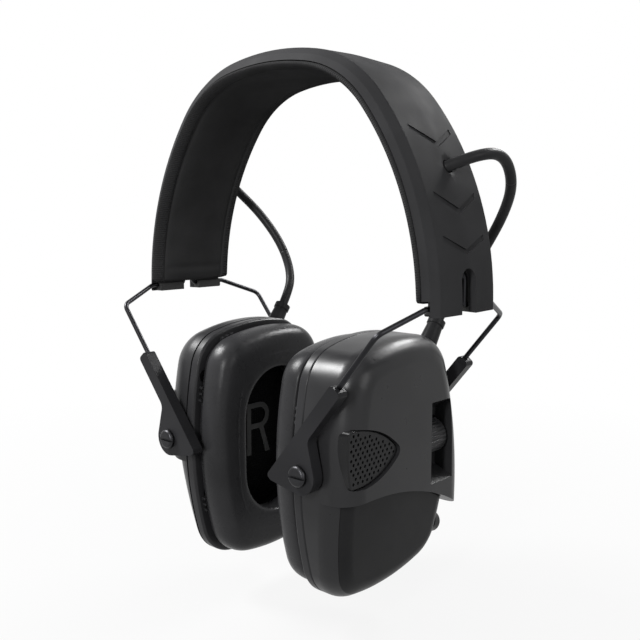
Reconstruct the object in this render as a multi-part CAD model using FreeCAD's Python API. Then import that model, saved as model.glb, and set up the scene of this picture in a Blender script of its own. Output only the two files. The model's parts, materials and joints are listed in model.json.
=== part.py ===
"""Electronic earmuff: a sprung headband with two ear cups on wire yokes.

Millimetres. The origin is the centre of the head pad's underside at the crown.
+X is the wearer's left, -Y is the wearer's front and +Z is up.
The left side is built first, and the right side is its mirror image in X.
"""

import FreeCAD
import Part
import math
import os

V = FreeCAD.Vector

# ---------------------------------------------------------------- band sizes
CROWN_R = 110.0
CROWN_END = 11.0
SHOULDER_R = 43.0
SHOULDER_END = 51.0
LEG_R = 112.0
FOOT_END = 91.0

PAD_THICK = 3.2
PAD_HALF_W = 22.7
PAD_END = 89.0
COVER_IN = 3.4
COVER_ROOF = 6.0
COVER_OUT = 8.4
COVER_CROWN = 9.0
COVER_HALF_W = 20.4
CAVITY_HALF_W = 18.2
RAIL_END = 88.3

STRIP_IN = 3.6
STRIP_OUT = 4.6
STRIP_HALF_W = 9.0
STRIP_END = 79.0
BLOCK_IN = 3.5
BLOCK_OUT = 5.9
BLOCK_HALF_W = 18.0
BLOCK_START = 73.0
BLOCK_TOE = 2.0
LEAD_IN = 4.9
LEAD_OUT = 5.7
RIVET_ANGLE = 77.0
RIVET_R = 1.2
RIVET_Y = 5.0

SLOT_HALF_W = 4.5
SLOT_TOP_Z = -73.7
CHEVRONS = [(-30.0, -24.5), (-53.7, -48.0), (-68.0, -63.0)]
CHEVRON_HALF_W = 13.0
CHEVRON_THICK = 1.9
CHEVRON_FLOOR = 8.2

# ---------------------------------------------------------------- width of a cup and what spans it
CUP_HALF_W = 37.4
ARM_GAP = 0.8
ARM_THICK = 4.8
ARM_IN_Y = CUP_HALF_W + ARM_GAP
ARM_OUT_Y = ARM_IN_Y + ARM_THICK
LEG_Y = ARM_IN_Y + 2.0
PIVOT_BOSS_Y = CUP_HALF_W - 6.9

# ---------------------------------------------------------------- yoke and arm sizes
WIRE_R = 1.0
AXLE_X = 75.7
AXLE_Z = -87.0
AXLE_BORE_R = 1.05
CRANK_HALF_W = 3.0
CRANK_TOP_Z = -75.5
WIRE_OUT_Y = 21.0
BEND_X = 70.0
BEND_Z = -94.2
LEG_ANGLE = 39.44
LEG_LENGTH = 71.8

ARM_TOP_X = 54.5
ARM_TOP_Z = -114.2
ARM_BORE_R = 1.1
ARM_BORE_V = -0.7
ARM_BORE_END = 47.0
ARM_END = 49.6
BAR_IN = -2.7
BAR_OUT = 2.7
LOBE_R = 7.2
LOBE_U = 36.9
LOBE_V = 8.1

# ---------------------------------------------------------------- cup sizes
CUP_Z = -157.0
CUP_UP = 56.0
CUP_DOWN = 46.5
CUP_SIDE_R = 150.0
CUP_END_R = 90.0
CUP_TOP_CORNER_R = 17.0
CUP_LOW_CORNER_R = 18.0
CUP_LEAN = 4.0
WALL = 2.2

CUSHION_X = 14.0
PLATE_X = 26.7
RIM_X = 28.5
SHELL_X = 33.3
RIM_EASE = 0.8
FACE_X = 56.0
EDGE_R = 10.0
RIGHT_FACE_X = 50.5
RIGHT_EDGE_R = 14.0
BOARD_X = 46.1
RIGHT_BOARD_X = 42.4
BOARD_THICK = 1.6

CUSHION_INSET = 2.2
CUSHION_FACE_INSET = 5.2
CUSHION_EDGE_R = 3.5
EAR_Z = -152.0
EAR_HALF_W = 19.5
EAR_HALF_H = 31.5
LINER_HALF_W = 21.8
LINER_HALF_H = 33.8
LINER_X = 29.0
LINER_THICK = 3.0
SEAT_GAP = 0.2
PLATE_INSET = 4.0
RIB_LEVELS = (-129.0, -177.0)
RIB_SIDES = (-18.5, 16.5)

PIVOT_HEAD_R = 4.0
PIVOT_R = 2.0
PIVOT_BORE_R = 2.05

PANEL_TOP_X = 51.5
PANEL_TOP_Z = -158.0
PANEL_LOW_X = 44.5
PANEL_LOW_Z = -200.0
ARCH_R = 113.0
ARCH_Y = -24.0
ARCH_TOP_Z = -157.7
DOOR_THICK = 2.2
DOOR_GAP = 0.25

NOTCH_FLOOR_X = 47.5
NOTCH_Y = 13.6
NOTCH_Y1 = 28.6
NOTCH_TOP_Z = -133.0
NOTCH_LOW_Z = -157.0
DIAL_X = 47.0
DIAL_Z = -144.5
DIAL_R = 7.25
DIAL_Y0 = 15.0
DIAL_Y1 = 27.6
DIAL_SHAFT_R = 3.0
DIAL_BORE_R = 3.05
DIAL_RIDGES = 26

GRILLE_CORNERS = [(-33.2, -133.0), (-32.4, -149.5), (-10.2, -142.2)]
GRILLE_BULGES = [0.8, 2.4, 2.2]
GRILLE_ROUND = 2.6
GRILLE_BACK = 2.7
MIC_Y = -25.5
MIC_Z = -141.0
MIC_R = 4.85
GRILLE_THICK = 1.4
GRILLE_SKIRT = 6.0
GRILLE_HOLE_R = 0.6
GRILLE_PITCH = 2.6
GRILLE_ROW = 1.75

SPEAKER_R = 20.0
SPEAKER_Z = -148.0
BOSS_R = 3.0
SCREW_HEAD_R = 2.6
SCREW_R = 1.25
SCREW_PLACES = [(-30.0, -122.0), (26.5, -122.0), (-29.0, -172.0), (29.0, -172.0)]

CELL_R = 5.25
CELL_LENGTH = 44.5
CELL_PLACES = [(39.2, -176.2), (39.0, -187.4)]

JACK_R = 3.5
JACK_BORE_R = 1.8
JACK_LENGTH = 11.5
JACK_MOUTH = V(40.5, CUP_HALF_W - 0.6, -186.5)
JACK_AXIS = V(0.0, 0.94, -0.34)

# ---------------------------------------------------------------- cable sizes
CABLE_R = 2.1
BOOT_BASE = V(44.2, 22.6, -112.2)
BOOT_TOP = V(44.6, 33.0, -98.2)
BOOT_BASE_R = 4.3
BOOT_TOP_R = 3.1
BOOT_BORE_R = 2.2
CABLE_EXIT = V(69.6, 2.2, -37.4)
CABLE_ROUTE = [
    V(67.7, 0.8, -38.4),
    V(76.5, 7.5, -33.7),
    V(79.6, 22.0, -32.6),
    V(77.2, 34.0, -42.8),
    V(69.0, 42.3, -54.5),
    V(58.0, 46.0, -69.5),
    V(49.5, 44.2, -84.0),
]


# ---------------------------------------------------------------- small helpers
def box(x0, x1, y0, y1, z0, z1):
    """A box between two corners."""
    return Part.makeBox(x1 - x0, y1 - y0, z1 - z0, V(x0, y0, z0))


def rod(start, direction, radius, length):
    """A cylinder from a point along a direction."""
    return Part.makeCylinder(radius, length, start, direction)


def join(shapes):
    """One solid from several that touch or overlap."""
    solid = shapes[0]
    for other in shapes[1:]:
        solid = solid.fuse(other)
    return solid.removeSplitter()


def flip_x(shape):
    """The mirror image on the other side of the wearer."""
    return shape.mirror(V(0, 0, 0), V(1, 0, 0))


def flip_y(shape):
    """The mirror image in front or behind."""
    return shape.mirror(V(0, 0, 0), V(0, 1, 0))


def save(name, shape):
    """Write one named piece and print its volume."""
    shape.exportStep("parts/" + name + ".step")
    note = "" if shape.isValid() else "  NOT VALID"
    print(f"{name:24s} {len(shape.Solids)} solid(s) {shape.Volume:10.1f} mm3{note}")


def save_pair(name, shape):
    """Write a left piece and its right-hand mirror image."""
    save(name + "_left", shape)
    save(name + "_right", flip_x(shape))


def rounded_wire(corners, place):
    """A closed outline through (p, q, radius) corners, put in space by place(p, q)."""
    legs = []
    for i, (p, q, r) in enumerate(corners):
        here = V(p, q, 0)
        before = V(corners[i - 1][0], corners[i - 1][1], 0)
        after = V(corners[(i + 1) % len(corners)][0], corners[(i + 1) % len(corners)][1], 0)
        way_in = (here - before).normalize()
        way_out = (after - here).normalize()
        half = way_in.getAngle(way_out) / 2
        trim = r * math.tan(half)
        first = here - way_in * trim
        last = here + way_out * trim
        middle = here
        if r > 0:
            inward = (way_out - way_in).normalize()
            middle = here + inward * (r / math.cos(half) - r)
        legs.append((first, middle, last, r))
    edges = []
    for i, (first, middle, last, r) in enumerate(legs):
        if r > 0:
            arc = Part.Arc(place(first.x, first.y), place(middle.x, middle.y), place(last.x, last.y))
            edges.append(arc.toShape())
        after = legs[(i + 1) % len(legs)][0]
        if (after - last).Length > 1e-6:
            edges.append(Part.makeLine(place(last.x, last.y), place(after.x, after.y)))
    return Part.Wire(Part.__sortEdges__(edges))


def prism_y(corners, y0, y1):
    """A prism along Y from (x, z, radius) corners."""
    wire = rounded_wire(corners, lambda x, z: V(x, y0, z))
    return Part.Face(wire).extrude(V(0, y1 - y0, 0))


def prism_x(corners, x0, x1, grow=0.0):
    """A prism along X from (y, z, radius) corners, grown or shrunk all round."""
    wire = rounded_wire(corners, lambda y, z: V(x0, y, z))
    if grow:
        wire = wire.makeOffset2D(grow)
    return Part.Face(wire).extrude(V(x1 - x0, 0, 0))


def tube_path(points, radii):
    """Straight runs joined by tangent arcs, one radius for each inner point."""
    edges = []
    last = points[0]
    for i in range(1, len(points) - 1):
        way_in = (points[i] - points[i - 1]).normalize()
        way_out = (points[i + 1] - points[i]).normalize()
        half = way_in.getAngle(way_out) / 2
        trim = radii[i - 1] * math.tan(half)
        first = points[i] - way_in * trim
        inward = (way_out - way_in).normalize()
        middle = points[i] + inward * (radii[i - 1] / math.cos(half) - radii[i - 1])
        end = points[i] + way_out * trim
        if (first - last).Length > 1e-6:
            edges.append(Part.makeLine(last, first))
        edges.append(Part.Arc(first, middle, end).toShape())
        last = end
    edges.append(Part.makeLine(last, points[-1]))
    return Part.Wire(edges)


def tube(points, radii, radius):
    """A round tube along a path."""
    path = tube_path(points, radii)
    way = (points[1] - points[0]).normalize()
    ring = Part.Wire(Part.makeCircle(radius, points[0], way))
    return path.makePipeShell([ring], True, False), path.Length


# ---------------------------------------------------------------- band geometry
def polar(centre, radius, angle):
    """A point in the XZ plane at an angle from straight up, as (x, z)."""
    turn = math.radians(angle)
    return (centre[0] + radius * math.sin(turn), centre[1] + radius * math.cos(turn))


CROWN_C = (0.0, -CROWN_R)
SHOULDER_C = polar(CROWN_C, CROWN_R - SHOULDER_R, CROWN_END)
LEG_C = polar(SHOULDER_C, SHOULDER_R - LEG_R, SHOULDER_END)
BAND_ARCS = [
    (CROWN_C, CROWN_R, 0.0, CROWN_END),
    (SHOULDER_C, SHOULDER_R, CROWN_END, SHOULDER_END),
    (LEG_C, LEG_R, SHOULDER_END, 120.0),
]


def band_point(angle, out, y):
    """A point on the left half of the band, so far out from the pad's underside."""
    for centre, radius, low, high in BAND_ARCS:
        if low <= angle <= high:
            x, z = polar(centre, radius + out, angle)
            return V(x, y, z)


def band_normal(angle):
    """The outward direction of the left half of the band."""
    return V(math.sin(math.radians(angle)), 0, math.cos(math.radians(angle)))


def band_half(corners, start, end):
    """The left half of a band layer, from (y, out, radius) section corners."""
    runs = []
    for centre, radius, low, high in BAND_ARCS:
        a0 = max(start, low)
        a1 = min(end, high)
        if a1 - a0 < 0.01:
            continue

        def place(y, out):
            x, z = polar(centre, radius + out, a0)
            return V(x, y, z)

        face = Part.Face(rounded_wire(corners, place))
        runs.append(face.revolve(V(centre[0], 0, centre[1]), V(0, 1, 0), a1 - a0))
    return join(runs)


def band_whole(corners, end):
    """A band layer over the crown from foot to foot."""
    half = band_half(corners, 0.0, end)
    return join([half, flip_x(half)])


def flat_section(half_w, low, high, r=0.0):
    """Section corners of a plain strip."""
    return [(-half_w, low, r), (half_w, low, r), (half_w, high, r), (-half_w, high, r)]


def foot_slot():
    """The arched slot between a foot's two lugs, where the wire's crank lies."""
    arch_z = SLOT_TOP_Z - SLOT_HALF_W
    well = box(60, 95, -SLOT_HALF_W, SLOT_HALF_W, -100, arch_z)
    return join([well, rod(V(60, 0, arch_z), V(1, 0, 0), SLOT_HALF_W, 35)])


def foot_trim(half_w, r):
    """A wide box with rounded lower corners that rounds off the feet."""
    low = band_point(FOOT_END, COVER_OUT, 0).z - 1.0
    corners = [(-half_w, 30, 0), (-half_w, low, r), (half_w, low, r), (half_w, 30, 0)]
    return prism_x(corners, -100, 100)


def chevrons():
    """The three shallow V grooves down the left half."""
    cuts = []
    half = CHEVRON_THICK / 2
    for apex, tip in CHEVRONS:
        corners = [
            (-CHEVRON_HALF_W, tip + half, 0),
            (0, apex + half, 0),
            (CHEVRON_HALF_W, tip + half, 0),
            (CHEVRON_HALF_W, tip - half, 0),
            (0, apex - half, 0),
            (-CHEVRON_HALF_W, tip - half, 0),
        ]
        cuts.append(prism_x(corners, 30, 100))
    skin = band_half(flat_section(CHEVRON_HALF_W + 1, CHEVRON_FLOOR, 12), 20, 90)
    return Part.makeCompound(cuts).common(skin)


def cable_way():
    """The direction in which the cable leaves the cover."""
    return (CABLE_ROUTE[1] - CABLE_ROUTE[0]).normalize()


def outer_cover():
    """The plastic channel over the band, with its slots, chevrons and cable holes."""
    section = [
        (-COVER_HALF_W - 1.2, COVER_IN, 0),
        (COVER_HALF_W + 1.2, COVER_IN, 0),
        (COVER_HALF_W, COVER_ROOF, 1.0),
        (COVER_HALF_W - 3.0, COVER_OUT, 1.5),
        (0, COVER_CROWN, 60.0),
        (-COVER_HALF_W + 3.0, COVER_OUT, 1.5),
        (-COVER_HALF_W, COVER_ROOF, 1.0),
    ]
    skin = band_half(section, 0, FOOT_END)
    cavity = band_half(flat_section(CAVITY_HALF_W, COVER_IN - 1, COVER_ROOF), 0, FOOT_END + 5)
    rails = band_half(flat_section(COVER_HALF_W + 6, COVER_IN - 1, COVER_ROOF), RAIL_END, FOOT_END + 5)
    half = skin.cut(cavity).cut(rails).cut(foot_slot()).cut(chevrons())
    way = cable_way()
    half = half.cut(rod(CABLE_ROUTE[0] - way * 2, way, CABLE_R + 0.4, 12))
    half = half.cut(Part.makeSphere(11.0, CABLE_EXIT + band_normal(65.0) * 9.6))
    half = half.common(foot_trim(COVER_HALF_W + 1.3, 5.0))
    return join([half, flip_x(half)])


def head_pad():
    """The foam pad against the head, one simple closed solid."""
    section = [
        (-17.0, 0, 4.0),
        (17.0, 0, 4.0),
        (PAD_HALF_W, 1.5, 0.8),
        (PAD_HALF_W - 0.9, PAD_THICK, 0.3),
        (-PAD_HALF_W + 0.9, PAD_THICK, 0.3),
        (-PAD_HALF_W, 1.5, 0.8),
    ]
    return band_whole(section, PAD_END)


def rivet_axes():
    """Start point and direction of the two rivets in the left half."""
    way = band_normal(RIVET_ANGLE)
    return [(band_point(RIVET_ANGLE, STRIP_IN, y), way) for y in (-RIVET_Y, RIVET_Y)]


def rivet_holes(shape):
    """Drill a left-half shape for the rivets."""
    for start, way in rivet_axes():
        shape = shape.cut(rod(start - way * 3, way, RIVET_R + 0.05, 8))
    return shape


def spring_band():
    """The sprung steel strip inside the cover."""
    half = band_half(flat_section(STRIP_HALF_W, STRIP_IN, STRIP_OUT), 0, STRIP_END)
    half = rivet_holes(half)
    return join([half, flip_x(half)])


def end_block():
    """The left block that holds the yoke wire in the forked foot."""
    above = band_half(flat_section(BLOCK_HALF_W, STRIP_OUT + 0.1, BLOCK_OUT), BLOCK_START, STRIP_END + 1)
    body = band_half(flat_section(BLOCK_HALF_W, BLOCK_IN, BLOCK_OUT), STRIP_END + 0.5, FOOT_END)
    toe = band_half(flat_section(BLOCK_HALF_W, BLOCK_TOE, BLOCK_OUT), PAD_END + 0.3, FOOT_END)
    block = rivet_holes(join([above, body, toe]))
    block = block.cut(foot_slot()).common(foot_trim(BLOCK_HALF_W + 0.5, 3.5))
    return block.cut(rod(V(AXLE_X, -30, AXLE_Z), V(0, 1, 0), AXLE_BORE_R, 60))


def band_rivets():
    """Two rivets each side through the strip and the block."""
    length = BLOCK_OUT - STRIP_IN
    left = [rod(start, way, RIVET_R, length) for start, way in rivet_axes()]
    return Part.makeCompound(left + [flip_x(r) for r in left])


def band_lead():
    """The flat lead inside the band between the two cable holes."""
    section = [(-0.4, LEAD_IN, 0), (2.4, LEAD_IN, 0), (2.4, LEAD_OUT, 0), (-0.4, LEAD_OUT, 0)]
    return band_whole(section, 66.0)


# ---------------------------------------------------------------- yoke and arms
LEG_DOWN = V(-math.sin(math.radians(LEG_ANGLE)), 0, -math.cos(math.radians(LEG_ANGLE)))
LEG_OUT = V(math.cos(math.radians(LEG_ANGLE)), 0, -math.sin(math.radians(LEG_ANGLE)))


def arm_point(u, v, y):
    """A point in the arm: u down the wire leg, v outboard."""
    return V(ARM_TOP_X, y, ARM_TOP_Z) + LEG_DOWN * u + LEG_OUT * v


def pivot_point(y):
    """A point on the axis on which the cup tilts."""
    return arm_point(LOBE_U, LOBE_V, y)


def yoke_wire():
    """The bent spring wire that carries the left cup."""
    bend = V(BEND_X, LEG_Y, BEND_Z)
    rear = [
        V(AXLE_X, CRANK_HALF_W, CRANK_TOP_Z),
        V(AXLE_X, CRANK_HALF_W, AXLE_Z),
        V(AXLE_X, WIRE_OUT_Y, AXLE_Z),
        bend,
        bend + LEG_DOWN * LEG_LENGTH,
    ]
    front = [V(p.x, -p.y, p.z) for p in reversed(rear)]
    bends = [2.9, 1.4, 3.5, 4.0]
    solid, _ = tube(front + rear, list(reversed(bends)) + bends, WIRE_R)
    return solid


def tangent_point(px, py, side):
    """Where a line from (px, py) touches the lobe, on its upper (+1) or lower side."""
    du = LOBE_U - px
    dv = LOBE_V - py
    gap = math.hypot(du, dv)
    turn = math.atan2(dv, du) + side * math.asin(LOBE_R / gap)
    run = math.sqrt(gap ** 2 - LOBE_R ** 2)
    return (px + run * math.cos(turn), py + run * math.sin(turn))


def arm():
    """The left rear arm: a bar on the wire leg with a round lobe at the cup's pivot."""
    def prism(corners):
        wire = rounded_wire(corners, lambda u, v: arm_point(u, v, ARM_IN_Y))
        return Part.Face(wire).extrude(V(0, ARM_OUT_Y - ARM_IN_Y, 0))

    top = tangent_point(24.0, BAR_OUT, 1)
    low = tangent_point(ARM_END, 0.0, -1)
    sum_u = top[0] + low[0] - 2 * LOBE_U
    sum_v = top[1] + low[1] - 2 * LOBE_V
    reach = LOBE_R ** 2 / (sum_u * (top[0] - LOBE_U) + sum_v * (top[1] - LOBE_V))
    tip = (LOBE_U + sum_u * reach, LOBE_V + sum_v * reach, LOBE_R)
    shape = prism([(0, BAR_IN, 1.5), (0, BAR_OUT, 1.5), (24.0, BAR_OUT, 4.0), tip, (ARM_END, 0, 1.2),
                   (ARM_END, BAR_IN, 1.5)])
    shape = shape.cut(rod(pivot_point(ARM_IN_Y - 1), V(0, 1, 0), PIVOT_BORE_R, 10))
    start = arm_point(-1, ARM_BORE_V, LEG_Y)
    return shape.cut(rod(start, LEG_DOWN, ARM_BORE_R, ARM_BORE_END + 1))


def pivot_screws():
    """The two slotted screws on which the left cup tilts."""
    head_y = ARM_OUT_Y + 0.3
    foot_y = PIVOT_BOSS_Y + 0.5
    shank = rod(pivot_point(foot_y), V(0, 1, 0), PIVOT_R, head_y - foot_y + 0.1)
    head = rod(pivot_point(head_y), V(0, 1, 0), PIVOT_HEAD_R, 1.8)
    rim = [e for e in head.Edges if e.BoundBox.YMin > head_y + 1.7]
    head = head.makeFillet(1.3, rim)
    c = pivot_point(head_y)
    slot = box(c.x - 6, c.x + 6, head_y + 0.9, head_y + 3, c.z - 0.6, c.z + 0.6)
    rear = join([shank, head]).cut(slot)
    return Part.makeCompound([rear, flip_y(rear)])


# ---------------------------------------------------------------- cup outlines
def quadrant(half_w, half_h, side_r, end_r, corner_r):
    """Side tangent point, corner middle and end tangent point of a quarter outline."""
    side_c = (half_w - side_r, 0.0)
    end_c = (0.0, half_h - end_r)
    r0 = side_r - corner_r
    r1 = end_r - corner_r
    dy = end_c[0] - side_c[0]
    dz = end_c[1] - side_c[1]
    gap = math.hypot(dy, dz)
    along = (r0 ** 2 - r1 ** 2 + gap ** 2) / (2 * gap)
    across = math.sqrt(r0 ** 2 - along ** 2)
    found = []
    for sign in (1, -1):
        found.append((side_c[0] + (along * dy - sign * across * dz) / gap,
                      side_c[1] + (along * dz + sign * across * dy) / gap))
    cy, cz = max(found, key=lambda p: p[0] + p[1])
    k = side_r / r0
    side_t = (side_c[0] + (cy - side_c[0]) * k, side_c[1] + (cz - side_c[1]) * k)
    k = end_r / r1
    end_t = (end_c[0] + (cy - end_c[0]) * k, end_c[1] + (cz - end_c[1]) * k)
    mid = V(side_t[0] + end_t[0] - 2 * cy, side_t[1] + end_t[1] - 2 * cz, 0).normalize()
    corner = (cy + mid.x * corner_r, cz + mid.y * corner_r)
    return side_t, corner, end_t


def cup_wire(x, inset):
    """The cup's egg-shaped outline at one X, made of tangent arcs and leaning forward."""
    half_w = CUP_HALF_W - inset
    edges = []
    for sign, half_h, corner_r in ((1, CUP_UP, CUP_TOP_CORNER_R), (-1, CUP_DOWN, CUP_LOW_CORNER_R)):
        side_t, corner, end_t = quadrant(half_w, half_h - inset, CUP_SIDE_R - inset,
                                         CUP_END_R - inset, corner_r - inset)
        for side in (1, -1):
            points = [V(x, p[0] * side, CUP_Z + p[1] * sign) for p in
                      ((half_w, 0), side_t, corner, end_t, (0, half_h - inset))]
            turn = math.atan2(side_t[1], side_t[0] - half_w + CUP_SIDE_R - inset) / 2
            half_y = half_w - (CUP_SIDE_R - inset) * (1 - math.cos(turn))
            on_side = V(x, half_y * side, CUP_Z + (CUP_SIDE_R - inset) * math.sin(turn) * sign)
            turn = math.atan2(end_t[0], end_t[1] - half_h + CUP_END_R) / 2
            half_z = half_h - inset - (CUP_END_R - inset) * (1 - math.cos(turn))
            on_end = V(x, (CUP_END_R - inset) * math.sin(turn) * side, CUP_Z + half_z * sign)
            edges.append(Part.Arc(points[0], on_side, points[1]).toShape())
            edges.append(Part.Arc(points[1], points[2], points[3]).toShape())
            edges.append(Part.Arc(points[3], on_end, points[4]).toShape())
    wire = Part.Wire(Part.__sortEdges__(edges))
    wire.rotate(V(0, 0, EAR_Z), V(1, 0, 0), CUP_LEAN)
    return wire


def cup_oval(x0, x1, inset):
    """A solid slice of the cup's outline, moved in by an inset."""
    return Part.Face(cup_wire(x0, inset)).extrude(V(x1 - x0, 0, 0))


def stadium(x0, x1, half_w, half_h):
    """A round-ended slot shape at the ear's centre."""
    corners = [(-half_w, EAR_Z - half_h, half_w - 0.01), (half_w, EAR_Z - half_h, half_w - 0.01),
               (half_w, EAR_Z + half_h, half_w - 0.01), (-half_w, EAR_Z + half_h, half_w - 0.01)]
    return prism_x(corners, x0, x1)


def round_face(solid, x, r):
    """Round every edge that lies in a plane of constant X."""
    edges = [e for e in solid.Edges if abs(e.BoundBox.XMin - x) < 1e-4 and abs(e.BoundBox.XMax - x) < 1e-4]
    return solid.makeFillet(r, edges)


# ---------------------------------------------------------------- cup shell
def panel_plane_x(z, shift):
    """Where the sloped lower panel lies in X at a height."""
    slope = (PANEL_TOP_X - PANEL_LOW_X) / (PANEL_TOP_Z - PANEL_LOW_Z)
    return PANEL_LOW_X + slope * (z - PANEL_LOW_Z) + shift


def beyond_panel(shift):
    """All that lies outboard of the sloped panel."""
    low = panel_plane_x(-220, shift)
    high = panel_plane_x(-80, shift)
    return prism_y([(low, -220, 0), (100, -220, 0), (100, -80, 0), (high, -80, 0)], -60, 60)


def arch(grow):
    """The round-topped region that the lower panel fills."""
    return rod(V(20, ARCH_Y, ARCH_TOP_Z - ARCH_R), V(1, 0, 0), ARCH_R + grow, 80)


def cup_body(face_x, edge_r, inset, panel_depth):
    """The cup's outer form with its edge rounded, set in by an inset."""
    shift = face_x - FACE_X
    edge_r = edge_r - inset
    start = SHELL_X - inset
    high = round_face(cup_oval(start, face_x - inset, inset), face_x - inset, edge_r)
    low = cup_oval(start, 90, inset).cut(beyond_panel(shift - panel_depth))
    sloped = max(low.Faces, key=lambda f: f.CenterOfMass.x)
    low = low.makeFillet(edge_r, sloped.Edges)
    region = arch(inset)
    return join([high.cut(region), low.common(region)])


def notch_cut(wall):
    """The dial's notch at the rear outer corner, grown by a wall thickness."""
    floor = NOTCH_FLOOR_X - wall
    corners = [(floor, NOTCH_TOP_Z + wall, 1.0), (floor, NOTCH_LOW_Z - wall, 1.0),
               (62, NOTCH_LOW_Z - 7.0 - wall, 0), (62, NOTCH_TOP_Z + 8.5 + wall, 0)]
    return prism_y(corners, NOTCH_Y - wall, NOTCH_Y1 + wall)


def grille_prism(x0, x1, grow):
    """The grille's rounded triangle with bowed sides."""
    edges = []
    for i in range(3):
        y0, z0 = GRILLE_CORNERS[i]
        y1, z1 = GRILLE_CORNERS[(i + 1) % 3]
        length = math.hypot(y1 - y0, z1 - z0)
        bow = GRILLE_BULGES[i] / length
        middle = V(x0, (y0 + y1) / 2 + bow * (z1 - z0), (z0 + z1) / 2 - bow * (y1 - y0))
        edges.append(Part.Arc(V(x0, y0, z0), middle, V(x0, y1, z1)).toShape())
    wire = Part.Wire(edges).makeOffset2D(GRILLE_ROUND + grow)
    return Part.Face(wire).extrude(V(x1 - x0, 0, 0))


def boot_way():
    """The direction of the cable boot, up and out of the cup."""
    return (BOOT_TOP - BOOT_BASE).normalize()


def cup_shell(face_x, edge_r, board_x, controls):
    """The hollow shell. The left one also has the dial's notch, the door and the socket."""
    grille_x = face_x - GRILLE_BACK
    pocket = DOOR_THICK + 0.1 if controls else 0.0
    solid = cup_body(face_x, edge_r, 0, 0)
    inner = cup_body(face_x, edge_r, WALL, pocket + WALL)
    inner = inner.cut(grille_prism(grille_x - WALL, 70, 2.0))
    if controls:
        solid = solid.cut(beyond_panel(-pocket).common(arch(0)))
        solid = solid.cut(notch_cut(0))
        inner = inner.cut(notch_cut(WALL))
    posts = [rod(V(SHELL_X, y, z), V(1, 0, 0), BOSS_R, 25) for y, z in SCREW_PLACES]
    for y, z in ((-18, -114), (4, -114), (-8, -130)):
        posts.append(rod(V(board_x + 0.2, y, z), V(1, 0, 0), 2.0, 12))
    pivot = rod(pivot_point(PIVOT_BOSS_Y), V(0, 1, 0), 4.5, 7.0)
    posts += [pivot, flip_y(pivot)]
    shell = solid.cut(inner)
    for post in posts:
        shell = shell.fuse(post.common(solid))
    for y, z in SCREW_PLACES:
        shell = shell.cut(rod(V(SHELL_X - 1, y, z), V(1, 0, 0), SCREW_R + 0.05, 9.5))
    bore = rod(pivot_point(PIVOT_BOSS_Y - 0.5), V(0, 1, 0), PIVOT_BORE_R, 15)
    shell = shell.cut(bore).cut(flip_y(bore))
    shell = shell.cut(grille_prism(grille_x - 0.2, 70, 0.25))
    shell = shell.cut(rod(V(grille_x - 8, MIC_Y, MIC_Z), V(1, 0, 0), MIC_R - 1.2, 20))
    shell = shell.cut(rod(BOOT_BASE - boot_way() * 3, boot_way(), BOOT_BASE_R + 0.2, 24))
    if controls:
        well = box(38, 50, DIAL_Y0 - 0.6, DIAL_Y1 + 0.6, DIAL_Z - DIAL_R - 0.6, DIAL_Z + DIAL_R + 0.6)
        shell = shell.cut(well)
        shell = shell.cut(rod(V(DIAL_X, 8, DIAL_Z), V(0, 1, 0), DIAL_SHAFT_R + 0.4, 8))
        shell = shell.cut(box(38, 60, -24, 24, -195, -170.5))
        shell = shell.cut(rod(JACK_MOUTH - JACK_AXIS * 14, JACK_AXIS, JACK_R + 0.1, 20))
        shell = shell.cut(rod(JACK_MOUTH - JACK_AXIS * 3.2, JACK_AXIS, JACK_R + 1.0, 8))
    return shell.removeSplitter()


def battery_door():
    """The sloped lower panel of the left cup, a plate that lifts off."""
    slab = cup_body(FACE_X, EDGE_R, 0, 0).common(beyond_panel(-DOOR_THICK))
    return slab.common(arch(-DOOR_GAP))


# ---------------------------------------------------------------- other cup pieces
def cup_rim():
    """The ring between the shell and the cushion, with its screw holes."""
    ease = RIM_EASE
    ring = join([
        Part.makeLoft([cup_wire(RIM_X, ease), cup_wire(RIM_X + ease, 0)], True, True),
        cup_oval(RIM_X + ease, SHELL_X - ease, 0),
        Part.makeLoft([cup_wire(SHELL_X - ease, 0), cup_wire(SHELL_X, ease)], True, True),
    ])
    ring = ring.cut(stadium(RIM_X - 1, SHELL_X + 1, LINER_HALF_W + SEAT_GAP, LINER_HALF_H + SEAT_GAP))
    for y, z in SCREW_PLACES:
        ring = ring.cut(rod(V(RIM_X - 1, y, z), V(1, 0, 0), SCREW_HEAD_R + 0.2, 3.2))
        ring = ring.cut(rod(V(RIM_X, y, z), V(1, 0, 0), SCREW_R + 0.2, 9))
    return ring


def cushion_plate():
    """The set-back plate that the cushion clips on, with eight groups of three ribs."""
    plate = cup_oval(PLATE_X, RIM_X, PLATE_INSET)
    limit = cup_oval(PLATE_X, RIM_X, PLATE_INSET - 1.8)
    ribs = []
    for step in (-2.6, 0.0, 2.6):
        for centre in RIB_LEVELS:
            z = centre + step
            ribs.append(box(PLATE_X, RIM_X, -60, 60, z - 0.5, z + 0.5).common(limit))
        for centre in RIB_SIDES:
            y = centre + step
            ribs.append(box(PLATE_X, RIM_X, y - 0.5, y + 0.5, -210, -90).common(limit))
    plate = join([plate] + ribs)
    return plate.cut(stadium(PLATE_X - 1, RIM_X + 1, LINER_HALF_W, LINER_HALF_H))


def ear_cushion():
    """The soft ring against the head, one simple closed solid."""
    ends = [cup_wire(CUSHION_X, CUSHION_FACE_INSET), cup_wire(PLATE_X, CUSHION_INSET)]
    ring = Part.makeLoft(ends, True, True)
    ring = ring.cut(stadium(CUSHION_X - 1, PLATE_X + 1, EAR_HALF_W, EAR_HALF_H))
    return round_face(ring, CUSHION_X, CUSHION_EDGE_R)


def ear_liner():
    """The cloth-faced foam plate in front of the speaker."""
    return stadium(LINER_X, LINER_X + LINER_THICK, LINER_HALF_W, LINER_HALF_H)


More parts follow.
